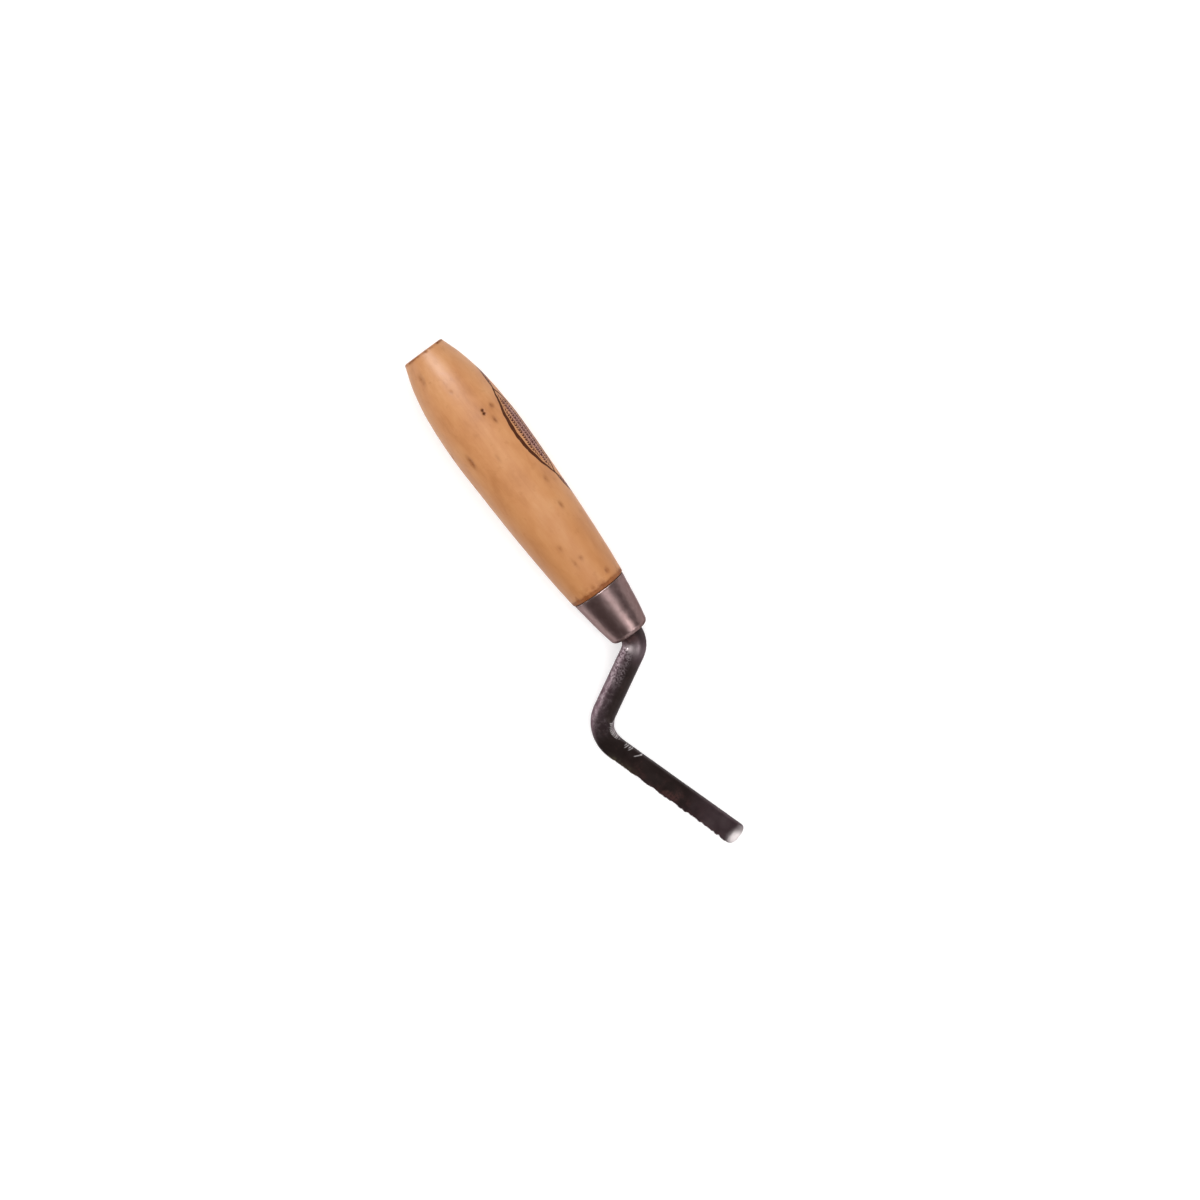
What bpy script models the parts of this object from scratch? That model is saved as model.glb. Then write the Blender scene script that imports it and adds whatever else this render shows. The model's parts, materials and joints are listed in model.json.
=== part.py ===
"""A cranked hand cutter: a turned wooden handle, a tapered steel ferrule and a one-piece forged blade.

Every piece is drawn in the tool's own axes, in metres: +X runs along the handle from its butt
towards the blade, +Y points out of the top of the handle, and +Z is square to the plane that the
crank bends in. The finished tool is then laid down on its side, as it rests on a bench, with the
origin under the middle of its box.
"""

import math

import bmesh
import bpy
import numpy as np
from mathutils import Matrix, Vector

MM = 0.001
GAP = 0.3 * MM  # left between pieces that touch on the real tool

# Turned handle, measured from the butt: (distance, radius) along the barrel
BARREL = (
    (1.0, 8.75),
    (7.6, 11.0),
    (13.2, 12.4),
    (21.0, 13.75),
    (31.5, 14.65),
    (42.0, 14.95),
    (57.0, 14.6),
    (77.0, 13.9),
    (94.0, 12.9),
    (104.5, 12.05),
    (109.8, 11.5),
)
BARREL_STEPS = 3  # facets between two of those points
WOOD_LENGTH = 110.4 * MM
EDGE_ROUND = 0.6 * MM  # softened edge beside the ferrule
BUTT_ROUND = 1.0 * MM  # softened edge of the butt
TENON_END = 126.4 * MM
BORE_RADIUS = 4.7 * MM
BORE_END = 61.0 * MM

# Ferrule
RIM_RADIUS = 11.05 * MM
NOSE_RADIUS = 8.45 * MM  # of the cone, produced to where the nose rounds over
NOSE_FACE = 131.4 * MM
NOSE_ROUND = 2.4 * MM
WALL = 0.9 * MM
TURNED_SIDES = 48

# Steel: the bar, its two bends and the flat blade
BAR_RADIUS = 4.7 * MM
TANG_START = 64.0 * MM
TANG_HALF = (1.5 * MM, 3.1 * MM)  # half the square's side, at the tang's end and at its root
SHOULDER = TENON_END + GAP
UPPER_VERTEX = 135.5 * MM  # where the shank's line meets the handle's axis
UPPER_RADIUS = 8.0 * MM
SHANK_TURN = math.radians(60.8)
SHANK_LENGTH = 40.9 * MM  # between the two vertices
LOWER_RADIUS = 12.5 * MM
BLADE_TURN = math.radians(79.4)
BLADE_LENGTH = 68.3 * MM  # from the lower vertex to the nose
BLADE_HALF_THICKNESS = 1.25 * MM
BLADE_HALF_DEPTH = (4.45 * MM, 4.7 * MM)  # at the crank and at the nose
BLADE_CORNER = 0.35 * MM  # along the blade's upper edge
SQUARED_BY = 6.0 * MM  # into the lower bend, the bar's inner side is flat with sharp corners
FILED = 0.8 * MM  # taken off the inside of the lower bend
DRAWN_OUT = 2.0 * MM  # past the lower bend, the bar has thinned to the blade's thickness
NOSE_LENGTH = 2.6 * MM  # over which the blade's outline rounds in
NOSE_POWER = 2.6  # squareness of that outline
BEVEL_LENGTH = 3.6 * MM
EDGE_THICKNESS = 0.35 * MM
CORNER_POINTS = 7  # of the steel's section, for each of its four corners


def material(name, colour, roughness, metallic):
    """A plain surface for one piece."""
    made = bpy.data.materials.new(name)
    made.use_nodes = True
    shader = made.node_tree.nodes["Principled BSDF"]
    shader.inputs["Base Color"].default_value = (*colour, 1.0)
    shader.inputs["Roughness"].default_value = roughness
    shader.inputs["Metallic"].default_value = metallic
    return made


def add_object(name, mesh, collection, surface):
    """Wraps a mesh as one named piece."""
    piece = bpy.data.objects.new(name, mesh)
    collection.objects.link(piece)
    mesh.materials.append(surface)
    return piece


def smooth_step(value):
    """Runs from 0 to 1 with a level start and finish."""
    value = min(max(value, 0.0), 1.0)
    return value * value * (3.0 - 2.0 * value)


def between(low, high, share):
    return low + (high - low) * share


def through(points, steps):
    """Points on a Catmull-Rom curve through the given ones."""
    points = [Vector(point) for point in points]
    before = 2 * points[0] - points[1]
    after = 2 * points[-1] - points[-2]
    padded = [before, *points, after]
    curve = []
    for a, b, c, d in zip(padded, padded[1:], padded[2:], padded[3:]):
        leaving = (c - a) / 2
        arriving = (d - b) / 2
        for step in range(steps):
            t = step / steps
            cubic = 2 * b - 2 * c + leaving + arriving
            square = 3 * c - 3 * b - 2 * leaving - arriving
            curve.append(b + leaving * t + square * t**2 + cubic * t**3)
    curve.append(points[-1])
    return curve


def arc(centre, radius, start, end, steps):
    """Points round a circle, from one angle to another in degrees."""
    angles = [math.radians(between(start, end, step / steps)) for step in range(steps + 1)]
    return [(centre[0] + radius * math.cos(a), centre[1] + radius * math.sin(a)) for a in angles]


def turned(name, outline, collection, surface):
    """A turned piece. The outline's points are (distance from the butt, radius), butt end first."""
    mesh = bpy.data.meshes.new(name)
    points = [(radius, 0.0, -distance) for distance, radius in outline]
    closed = outline[0][1] > 0.0
    edges = [(i, i + 1) for i in range(len(points) - 1)]
    if closed:
        edges.append((len(points) - 1, 0))
    mesh.from_pydata(points, edges, [])
    piece = add_object(name, mesh, collection, surface)
    spin = piece.modifiers.new("turning", "SCREW")
    spin.axis = "Z"
    spin.steps = TURNED_SIDES
    spin.render_steps = TURNED_SIDES
    spin.use_smooth_shade = True
    spin.use_merge_vertices = True
    spin.merge_threshold = 0.00001
    piece.rotation_euler = (0.0, -math.pi / 2, 0.0)
    return piece


def cone_radius(distance):
    """The ferrule's outer radius at a distance from the butt."""
    rim = WOOD_LENGTH + GAP
    share = (distance - rim) / (NOSE_FACE - NOSE_ROUND - rim)
    return between(RIM_RADIUS, NOSE_RADIUS, share)


def make_handle(collection):
    barrel = through([(x * MM, r * MM) for x, r in BARREL], BARREL_STEPS)
    butt_radius = barrel[0][1] - BUTT_ROUND
    outline = [(0.0, 0.0)]
    outline += arc((BUTT_ROUND, butt_radius), BUTT_ROUND, 180, 110, 4)
    outline += barrel
    shoulder_radius = barrel[-1][1] - EDGE_ROUND
    outline += arc((WOOD_LENGTH - EDGE_ROUND, shoulder_radius), EDGE_ROUND, 60, 0, 3)
    inside = WALL + GAP
    outline.append((WOOD_LENGTH, cone_radius(WOOD_LENGTH) - inside))
    outline.append((TENON_END, cone_radius(TENON_END) - inside))
    outline.append((TENON_END, BORE_RADIUS))
    outline.append((BORE_END, BORE_RADIUS))
    outline.append((BORE_END - BORE_RADIUS / 2, 0.0))
    beech = material("varnished_beech", (0.60, 0.31, 0.125), 0.38, 0.0)
    return turned("handle", outline, collection, beech)


def make_ferrule(collection):
    rim = WOOD_LENGTH + GAP
    turn_in = NOSE_FACE - NOSE_ROUND
    hole = BAR_RADIUS + GAP
    outer_round = arc((turn_in, NOSE_RADIUS - NOSE_ROUND), NOSE_ROUND, 82, 0, 6)
    inner_round = arc((turn_in, NOSE_RADIUS - NOSE_ROUND), NOSE_ROUND - WALL, 0, 82, 4)
    outline = [(rim, RIM_RADIUS)]
    outline += outer_round
    outline.append((NOSE_FACE, hole))
    outline.append((NOSE_FACE - WALL, hole))
    outline += inner_round
    outline.append((rim, RIM_RADIUS - WALL))
    plated = material("satin_plated_steel", (0.36, 0.29, 0.28), 0.32, 1.0)
    return turned("ferrule", outline, collection, plated)


class Pen:
    """Draws the steel's centreline in the crank's plane, as stations along its length."""

    def __init__(self, x):
        self.x, self.y, self.heading, self.travelled = x, 0.0, 0.0, 0.0
        self.stations = []
        self.mark()

    def mark(self):
        self.stations.append((self.travelled, self.x, self.y, self.heading))

    def straight(self, lengths):
        for length in lengths:
            self.x += length * math.cos(self.heading)
            self.y += length * math.sin(self.heading)
            self.travelled += length
            self.mark()

    def bend(self, radius, turn, steps):
        """Turns left by a positive angle, right by a negative one."""
        chord = 2 * radius * math.sin(abs(turn) / steps / 2)
        for _ in range(steps):
            self.heading += turn / steps / 2
            self.x += chord * math.cos(self.heading)
            self.y += chord * math.sin(self.heading)
            self.heading += turn / steps / 2
            self.travelled += radius * abs(turn) / steps
            self.mark()


def section(inner, outer, near, far, inner_corner, outer_corner):
    """A rounded rectangle. Its points are (towards the inside of the crook, out of the crank's plane)."""
    corners = (
        (inner - inner_corner, near - inner_corner, inner_corner, 0),
        (-outer + outer_corner, near - outer_corner, outer_corner, 90),
        (-outer + outer_corner, -far + outer_corner, outer_corner, 180),
        (inner - inner_corner, -far + inner_corner, inner_corner, 270),
    )
    points = []
    for across, up, radius, start in corners:
        for step in range(CORNER_POINTS):
            angle = math.radians(start + 90 * (step + 0.5) / CORNER_POINTS)
            points.append((across + radius * math.cos(angle), up + radius * math.sin(angle)))
    return points


def bar_section():
    half = BAR_RADIUS
    return section(half, half, half, half, half, half)


def tang_section(share):
    half = between(*TANG_HALF, share)
    return section(half, half, half, half, half / 8, half / 8)


def drawn_section(past_elbow, from_nose):
    """The section from the lower bend to the nose. Both distances run along the steel."""
    half_bend = LOWER_RADIUS * BLADE_TURN / 2
    squared = smooth_step((past_elbow + half_bend) / SQUARED_BY)
    thinned = smooth_step((past_elbow + half_bend) / (2 * half_bend + DRAWN_OUT))
    filed = FILED * smooth_step(1.0 - abs(past_elbow) / half_bend)
    far = between(BAR_RADIUS, BLADE_HALF_THICKNESS, thinned)
    bevel = min(from_nose / BEVEL_LENGTH, 1.0)
    near = between(EDGE_THICKNESS - BLADE_HALF_THICKNESS, far, bevel)
    share = 1.0 - min(from_nose / BLADE_LENGTH, 1.0)
    half_depth = between(BAR_RADIUS, between(*BLADE_HALF_DEPTH, share), thinned)
    rounding = (1.0 - max(1.0 - from_nose / NOSE_LENGTH, 0.0) ** NOSE_POWER) ** (1 / NOSE_POWER)
    half_depth *= rounding
    half_thickness = (near + far) / 2
    inner_corner = min(between(BAR_RADIUS, BLADE_CORNER, squared), half_thickness, half_depth)
    outer_corner = min(half_thickness, half_depth)
    return section(half_depth - filed, half_depth, near, far, inner_corner, outer_corner)


def steel_stations():
    """(x, y, heading, section) all along the forging, from the tang's end to the nose."""
    upper_tangent = UPPER_RADIUS * math.tan(SHANK_TURN / 2)
    lower_tangent = LOWER_RADIUS * math.tan(BLADE_TURN / 2)
    tang_length = SHOULDER - TANG_START
    lead = UPPER_VERTEX - upper_tangent - SHOULDER
    shank = SHANK_LENGTH - upper_tangent - lower_tangent
    strip = BLADE_LENGTH - lower_tangent
    pen = Pen(TANG_START)
    pen.straight([tang_length])
    tang_count = len(pen.stations)
    pen.mark()
    pen.straight([lead])
    pen.bend(UPPER_RADIUS, -SHANK_TURN, 10)
    pen.straight([shank])
    bar_count = len(pen.stations) - 1
    elbow = pen.travelled + LOWER_RADIUS * BLADE_TURN / 2
    pen.bend(LOWER_RADIUS, BLADE_TURN, 12)
    nose = pen.travelled + strip
    stops = [DRAWN_OUT * step / 4 for step in range(5)]
    stops += [between(DRAWN_OUT, strip - BEVEL_LENGTH, step / 3) for step in (1, 2, 3)]
    stops += [strip - NOSE_LENGTH * (1 - math.cos(math.radians(angle))) for angle in range(90, 10, -11)]
    pen.straight([stop - start for start, stop in zip(stops, stops[1:])])
    stations = []
    for index, (travelled, x, y, heading) in enumerate(pen.stations):
        if index < tang_count:
            shape = tang_section(travelled / tang_length)
        elif index < bar_count:
            shape = bar_section()
        else:
            shape = drawn_section(travelled - elbow, nose - travelled)
        stations.append((x, y, heading, shape))
    return stations


def make_blade(collection):
    """One skin lofted over unlike sections: square tang, round bar, flat strip, bevelled nose."""
    skin = bmesh.new()
    rings = []
    for x, y, heading, shape in steel_stations():
        inward = Vector((-math.sin(heading), math.cos(heading), 0.0))
        centre = Vector((x, y, 0.0))
        corners = [centre + inward * across + Vector((0.0, 0.0, up)) for across, up in shape]
        rings.append([skin.verts.new(corner) for corner in corners])
    for ring, following in zip(rings, rings[1:]):
        for i in range(len(ring)):
            j = (i + 1) % len(ring)
            skin.faces.new((ring[i], ring[j], following[j], following[i]))
    skin.faces.new(reversed(rings[0]))
    skin.faces.new(rings[-1])
    bmesh.ops.recalc_face_normals(skin, faces=skin.faces)
    mesh = bpy.data.meshes.new("blade")
    skin.to_mesh(mesh)
    skin.free()
    mesh.shade_smooth()
    mesh.set_sharp_from_angle(angle=math.radians(40))
    forged = material("forged_steel", (0.035, 0.026, 0.026), 0.45, 0.8)
    return add_object("blade", mesh, collection, forged)


def skin_points(piece):
    """The corners of a piece's finished surface, in world space."""
    evaluated = piece.evaluated_get(bpy.context.evaluated_depsgraph_get())
    return np.array([piece.matrix_world @ corner.co for corner in evaluated.data.vertices])


def resting_normal(groups):
    """The bench's normal, in the tool's axes, once one point of each group touches the bench."""
    normal = np.array([0.0, 0.0, 1.0])
    for _ in range(30):
        touching = [group[np.argmin(group @ normal)] for group in groups]
        normal = np.cross(touching[1] - touching[0], touching[2] - touching[0])
        normal *= math.copysign(1.0, normal[2]) / np.linalg.norm(normal)
    return normal


def lay_down(pieces):
    """Stands the tool on the barrel's side, the elbow of the crank and the blade's nose."""
    bpy.context.view_layer.update()
    barrel = skin_points(pieces["handle"])
    steel = skin_points(pieces["blade"])
    elbow_x = UPPER_VERTEX + SHANK_LENGTH * math.cos(SHANK_TURN)
    outside = steel[steel[:, 0] > UPPER_VERTEX]
    elbow = outside[outside[:, 0] < elbow_x + DRAWN_OUT]
    nose = outside[outside[:, 0] > elbow_x + BLADE_LENGTH / 2]
    up = Vector(resting_normal((barrel, elbow, nose)))
    along = (Vector((1.0, 0.0, 0.0)) - up * up.x).normalized()
    turn = Matrix((along, up.cross(along), up))
    everything = np.concatenate([skin_points(piece) for piece in pieces.values()])
    laid = everything @ np.array(turn).T
    low, high = laid.min(axis=0), laid.max(axis=0)
    origin = Vector(((low[0] + high[0]) / 2, (low[1] + high[1]) / 2, low[2]))
    stand = bpy.data.objects.new("lino_cutter_axes", None)
    bpy.context.scene.collection.objects.link(stand)
    stand.matrix_world = Matrix.Translation(-origin) @ turn.to_4x4()
    for piece in pieces.values():
        piece.parent = stand


def main():
    for leftover in list(bpy.data.objects):
        bpy.data.objects.remove(leftover)
    collection = bpy.data.collections.new("lino_cutter")
    bpy.context.scene.collection.children.link(collection)
    pieces = {
        "handle": make_handle(collection),
        "ferrule": make_ferrule(collection),
        "blade": make_blade(collection),
    }
    lay_down(pieces)


main()
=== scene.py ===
import json
import math

import bpy
import numpy as np
from mathutils import Matrix, Vector, noise


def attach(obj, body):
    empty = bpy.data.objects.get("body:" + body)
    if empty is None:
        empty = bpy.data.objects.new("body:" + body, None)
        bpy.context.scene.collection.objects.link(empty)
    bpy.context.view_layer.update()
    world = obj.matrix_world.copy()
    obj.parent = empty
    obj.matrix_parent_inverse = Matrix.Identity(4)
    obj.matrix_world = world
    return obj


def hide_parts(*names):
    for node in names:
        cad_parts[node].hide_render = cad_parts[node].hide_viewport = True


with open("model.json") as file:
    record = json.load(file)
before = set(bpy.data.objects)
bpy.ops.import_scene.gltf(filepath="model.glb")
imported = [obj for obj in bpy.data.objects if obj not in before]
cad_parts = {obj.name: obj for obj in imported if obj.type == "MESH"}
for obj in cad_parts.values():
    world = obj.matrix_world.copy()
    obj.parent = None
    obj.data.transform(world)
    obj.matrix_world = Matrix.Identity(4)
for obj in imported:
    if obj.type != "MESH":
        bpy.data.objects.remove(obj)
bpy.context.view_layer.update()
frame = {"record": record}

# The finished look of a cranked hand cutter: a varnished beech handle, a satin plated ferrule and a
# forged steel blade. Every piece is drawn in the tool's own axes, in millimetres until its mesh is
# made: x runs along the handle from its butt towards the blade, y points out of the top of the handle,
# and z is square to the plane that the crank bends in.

MM = 0.001

# ---------------------------------------------------------------- sizes, as the CAD model has them
BARREL = (
    (1.0, 8.75),
    (7.6, 11.0),
    (13.2, 12.4),
    (21.0, 13.75),
    (31.5, 14.65),
    (42.0, 14.95),
    (57.0, 14.6),
    (77.0, 13.9),
    (94.0, 12.9),
    (104.5, 12.05),
    (109.8, 11.5),
)
WOOD_LENGTH = 110.4
BUTT_ROUND = 1.0
EDGE_ROUND = 0.6
TENON_END = 126.4
TENON_RADII = (9.8, 7.5)
BORE_RADIUS = 4.7
BORE_END = 61.0
RIM = 110.7  # where the ferrule starts
RIM_RADIUS = 11.05
NOSE_RADIUS = 8.45
NOSE_FACE = 131.4
NOSE_ROUND = 2.4
WALL = 0.9
HOLE_RADIUS = 5.0
BAR_RADIUS = 4.7
TANG_START = 64.0
TANG_HALF = (1.5, 3.1)
SHOULDER = 126.7
UPPER_VERTEX = 135.5
UPPER_RADIUS = 8.0
SHANK_TURN = math.radians(60.8)
SHANK_LENGTH = 40.9
LOWER_RADIUS = 12.5
BLADE_TURN = math.radians(79.4)
BLADE_LENGTH = 68.3
BLADE_HALF_THICKNESS = 1.25
BLADE_HALF_DEPTH = (4.45, 4.7)
BLADE_CORNER = 0.35
SQUARED_BY = 6.0
FILED = 0.8
DRAWN_OUT = 2.0
NOSE_LENGTH = 2.6
NOSE_POWER = 2.6
BEVEL_LENGTH = 3.6
BEVEL_POWER = 1.25  # the stone rounded it a little
EDGE_THICKNESS = 0.35

# ---------------------------------------------------------------- the tool's axes, from its two mounts
mounts = {mount["name"]: mount for mount in frame["record"]["mounts"]}
along = -Vector(mounts["butt_face"]["axis"]).normalized()
square = Vector(mounts["blade_flat"]["axis"]).normalized()
top = square.cross(along)
TURN = Matrix((along, top, square)).transposed()
TOOL = Matrix.Translation(Vector(mounts["butt_face"]["pos_m"])) @ TURN.to_4x4()


# ---------------------------------------------------------------- curves and meshes
def smooth_step(value):
    value = np.clip(value, 0.0, 1.0)
    return value * value * (3.0 - 2.0 * value)


def between(low, high, share):
    return low + (high - low) * share


def bump(distance, width):
    """1 at no distance, falling smoothly to nothing at about twice the width."""
    return np.exp(-((distance / width) ** 2))


def through(points, steps):
    """Points on a Catmull-Rom curve through the given ones."""
    points = np.array(points, float)
    padded = np.vstack((2 * points[0] - points[1], points, 2 * points[-1] - points[-2]))
    t = (np.arange(steps) / steps)[:, None]
    curve = []
    for a, b, c, d in zip(padded, padded[1:], padded[2:], padded[3:]):
        leaving = (c - a) / 2
        arriving = (d - b) / 2
        cubic = 2 * b - 2 * c + leaving + arriving
        square_part = 3 * c - 3 * b - 2 * leaving - arriving
        curve.append(b + leaving * t + square_part * t**2 + cubic * t**3)
    return np.vstack([*curve, points[-1:]])


def arc(centre, radius, start, end, steps):
    """Points round a circle, from one angle to another in degrees."""
    angles = np.radians(np.linspace(start, end, steps + 1))
    return np.stack((centre[0] + radius * np.cos(angles), centre[1] + radius * np.sin(angles)), 1)


def line(start, end, steps):
    """Points along a straight line, without its start."""
    share = (np.arange(steps) + 1)[:, None] / steps
    return np.array(start, float) + (np.array(end, float) - np.array(start, float)) * share


def roughness_of(points, size, octaves, seed):
    """Smooth noise from -1 to 1 at each point, with features of about the given size."""
    shape = points.shape[:-1]
    offset = Vector((seed * 17.3, seed * 5.1, seed * 9.7))
    values = [
        noise.fractal(Vector(point) / size + offset, 0.8, 2.1, octaves)
        for point in points.reshape(-1, 3)
    ]
    return np.clip(np.array(values).reshape(shape), -1.0, 1.0)


def outward(points, joined):
    """Unit normals of a grid of rings, from its neighbouring points."""
    around = np.roll(points, -1, axis=1) - np.roll(points, 1, axis=1)
    if joined:
        lengthwise = np.roll(points, -1, axis=0) - np.roll(points, 1, axis=0)
    else:
        lengthwise = np.gradient(points, axis=0)
    normals = np.cross(around, lengthwise)
    return normals / np.maximum(np.linalg.norm(normals, axis=-1, keepdims=True), 1e-9)


def turned(outline, sides):
    """(x, radius, angles) of an outline's rings, turned about the handle's axis.

    Angles are measured round it from square to the crank's plane, towards the top.
    """
    angles = np.radians(np.arange(sides) * 360 / sides)[None, :]
    return np.repeat(outline[:, :1], sides, axis=1), np.repeat(outline[:, 1:], sides, axis=1), angles


def ring_points(x, radius, angles):
    return np.stack((x, radius * np.sin(angles), radius * np.cos(angles)), -1)


def angle_from(angles, degrees):
    """How far round each angle is from a direction, from -pi to pi."""
    return (angles - math.radians(degrees) + math.pi) % (2 * math.pi) - math.pi


def make_piece(name, points, joined, surface, marks):
    """A closed skin over a grid of rings, in the tool's axes. marks are numbers kept at each corner."""
    rows, sides, _ = points.shape
    index = np.arange(rows * sides).reshape(rows, sides)
    beside = np.roll(index, -1, axis=1)
    last = rows if joined else rows - 1
    ahead = np.roll(index, -1, axis=0)
    beside_ahead = np.roll(beside, -1, axis=0)
    quads = np.stack((index, ahead, beside_ahead, beside), -1)[:last].reshape(-1, 4)
    a, b, c, d = np.moveaxis(points.reshape(-1, 3)[quads], 1, 0)
    inside_out = (np.cross(c - a, d - b) * (a - points.mean(axis=(0, 1)))).sum() < 0.0
    faces = quads.tolist()
    if not joined:
        faces.append(index[0].tolist())
        faces.append(index[-1][::-1].tolist())
    if inside_out:
        faces = [face[::-1] for face in faces]
    mesh = bpy.data.meshes.new(name)
    corners = points.reshape(-1, 3)
    placed = corners * MM @ np.array(TURN).T + np.array(TOOL.translation)
    mesh.from_pydata(placed.tolist(), [], faces)
    place = mesh.attributes.new("place", "FLOAT_VECTOR", "POINT")
    place.data.foreach_set("vector", np.ascontiguousarray(corners.ravel(), np.float32))
    for mark, values in marks.items():
        attribute = mesh.attributes.new(mark, "FLOAT", "POINT")
        attribute.data.foreach_set("value", np.ascontiguousarray(values.ravel(), np.float32))
    mesh.shade_smooth()
    mesh.materials.append(surface)
    piece = bpy.data.objects.new(name, mesh)
    bpy.context.scene.collection.objects.link(piece)
    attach(piece, "root")
    return piece


# ---------------------------------------------------------------- materials
class Surface:
    """One material, built node by node. Its coordinates are the tool's axes, in millimetres."""

    def __init__(self, name):
        self.material = bpy.data.materials.new(name)
        self.material.use_nodes = True
        self.tree = self.material.node_tree
        self.shader = self.tree.nodes["Principled BSDF"]
        self.place = self.node("Attribute", attribute_name="place").outputs["Vector"]

    def node(self, kind, **settings):
        made = self.tree.nodes.new("ShaderNode" + kind)
        for key, value in settings.items():
            setattr(made, key, value)
        return made

    def feed(self, socket, value):
        if isinstance(value, bpy.types.NodeSocket):
            self.tree.links.new(value, socket)
        else:
            socket.default_value = value

    def math(self, operation, *values, clamp=False):
        made = self.node("Math", operation=operation, use_clamp=clamp)
        for socket, value in zip(made.inputs, values):
            self.feed(socket, value)
        return made.outputs[0]

    def plus(self, first, second, clamp=False):
        return self.math("ADD", first, second, clamp=clamp)

    def minus(self, first, second, clamp=False):
        return self.math("SUBTRACT", first, second, clamp=clamp)

    def times(self, first, second, clamp=False):
        return self.math("MULTIPLY", first, second, clamp=clamp)

    def larger(self, first, second):
        return self.math("MAXIMUM", first, second)

    def size_of(self, value):
        return self.math("ABSOLUTE", value)

    def vector(self, operation, *values):
        made = self.node("VectorMath", operation=operation)
        for socket, value in zip(made.inputs, values):
            self.feed(socket, value)
        return made.outputs["Value" if operation == "LENGTH" else "Vector"]

    def stretched(self, x, y, z):
        """The coordinates, multiplied along each axis."""
        return self.vector("MULTIPLY", self.place, (x, y, z))

    def noise(self, place, scale, detail=3.0, rough=0.5, distortion=0.0):
        made = self.node("TexNoise")
        self.feed(made.inputs["Vector"], place)
        for key, value in (
            ("Scale", scale),
            ("Detail", detail),
            ("Roughness", rough),
            ("Distortion", distortion),
        ):
            made.inputs[key].default_value = value
        return made.outputs["Fac"]

    def cells(self, place, scale):
        """The distance from the middle of the nearest cell."""
        made = self.node("TexVoronoi")
        self.feed(made.inputs["Vector"], place)
        made.inputs["Scale"].default_value = scale
        return made.outputs["Distance"]

    def ramp(self, value, low, high, to_low=0.0, to_high=1.0):
        """Maps low..high on to_low..to_high, smoothly, and no further."""
        made = self.node("MapRange", interpolation_type="SMOOTHSTEP")
        for key, number in (
            ("Value", value),
            ("From Min", low),
            ("From Max", high),
            ("To Min", to_low),
            ("To Max", to_high),
        ):
            self.feed(made.inputs[key], number)
        return made.outputs["Result"]

    def colours(self, value, stops):
        made = self.node("ValToRGB")
        self.feed(made.inputs["Fac"], value)
        elements = made.color_ramp.elements
        while len(elements) < len(stops):
            elements.new(0.5)
        for element, (position, colour) in zip(elements, stops):
            element.position = position
            element.color = (*colour, 1.0)
        return made.outputs["Color"]

    def mix(self, share, low, high, blend="MIX"):
        made = self.node("Mix", data_type="RGBA", blend_type=blend)
        self.feed(made.inputs["Factor"], share)
        for socket, value in ((made.inputs["A"], low), (made.inputs["B"], high)):
            self.feed(socket, value)
        return made.outputs["Result"]

    def mark(self, name):
        """A number kept at the mesh's corners."""
        return self.node("Attribute", attribute_name=name).outputs["Fac"]

    def separate(self, place):
        made = self.node("SeparateXYZ")
        self.feed(made.inputs[0], place)
        return made.outputs["X"], made.outputs["Y"], made.outputs["Z"]

    def raise_by(self, *layers):
        """Stacks bumps. Each layer is (height from 0 to 1, its depth in millimetres)."""
        normal = None
        for height, depth in layers:
            made = self.node("Bump")
            made.inputs["Strength"].default_value = 1.0
            made.inputs["Distance"].default_value = depth * MM
            self.feed(made.inputs["Height"], height)
            if normal is not None:
                self.feed(made.inputs["Normal"], normal)
            normal = made.outputs["Normal"]
        self.feed(self.shader.inputs["Normal"], normal)

    def finish(self, **sockets):
        for key, value in sockets.items():
            self.feed(self.shader.inputs[key.replace("_", " ")], value)
        return self.material


def rgb(red, green, blue):
    return (red, green, blue, 1.0)


# The printed ornament: a pointed oval filled with rows of chevrons, and a leaf beyond each end
ORNAMENT_AT = 45.6  # along the handle
ORNAMENT_ANGLE = math.radians(82)  # round it, from square to the crank's plane towards the top
ORNAMENT_HALF_LENGTH = 19.5
ORNAMENT_HALF_WIDTH = 6.1
ORNAMENT_RADIUS = 14.9
LEAF_LENGTH = 11.5
LEAF_WIDTH = 2.6


def leaf(s, u, w, wander):
    """(lines, filling) of the leaf that sweeps away from each point of the oval."""
    past = s.minus(s.size_of(u), ORNAMENT_HALF_LENGTH)
    lean = s.plus(s.times(s.times(past, past), 0.045), 0.5)
    above = s.minus(w, s.plus(lean, s.times(wander, 0.5)))
    swell = s.times(s.math("SINE", s.times(past, math.pi / LEAF_LENGTH)), LEAF_WIDTH)
    near_edge = s.ramp(s.size_of(above), 0.44, 0.26)
    far_edge = s.ramp(s.size_of(s.minus(above, swell)), 0.34, 0.18)
    begun = s.ramp(past, -0.8, -0.4)
    on_leaf = s.times(begun, s.ramp(past, LEAF_LENGTH, LEAF_LENGTH - 0.6))
    lines = s.times(s.larger(near_edge, far_edge), on_leaf)
    filling = s.times(s.ramp(above, 0.3, 0.5), s.ramp(s.minus(swell, above), 0.3, 0.5))
    return lines, s.times(filling, on_leaf)


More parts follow.
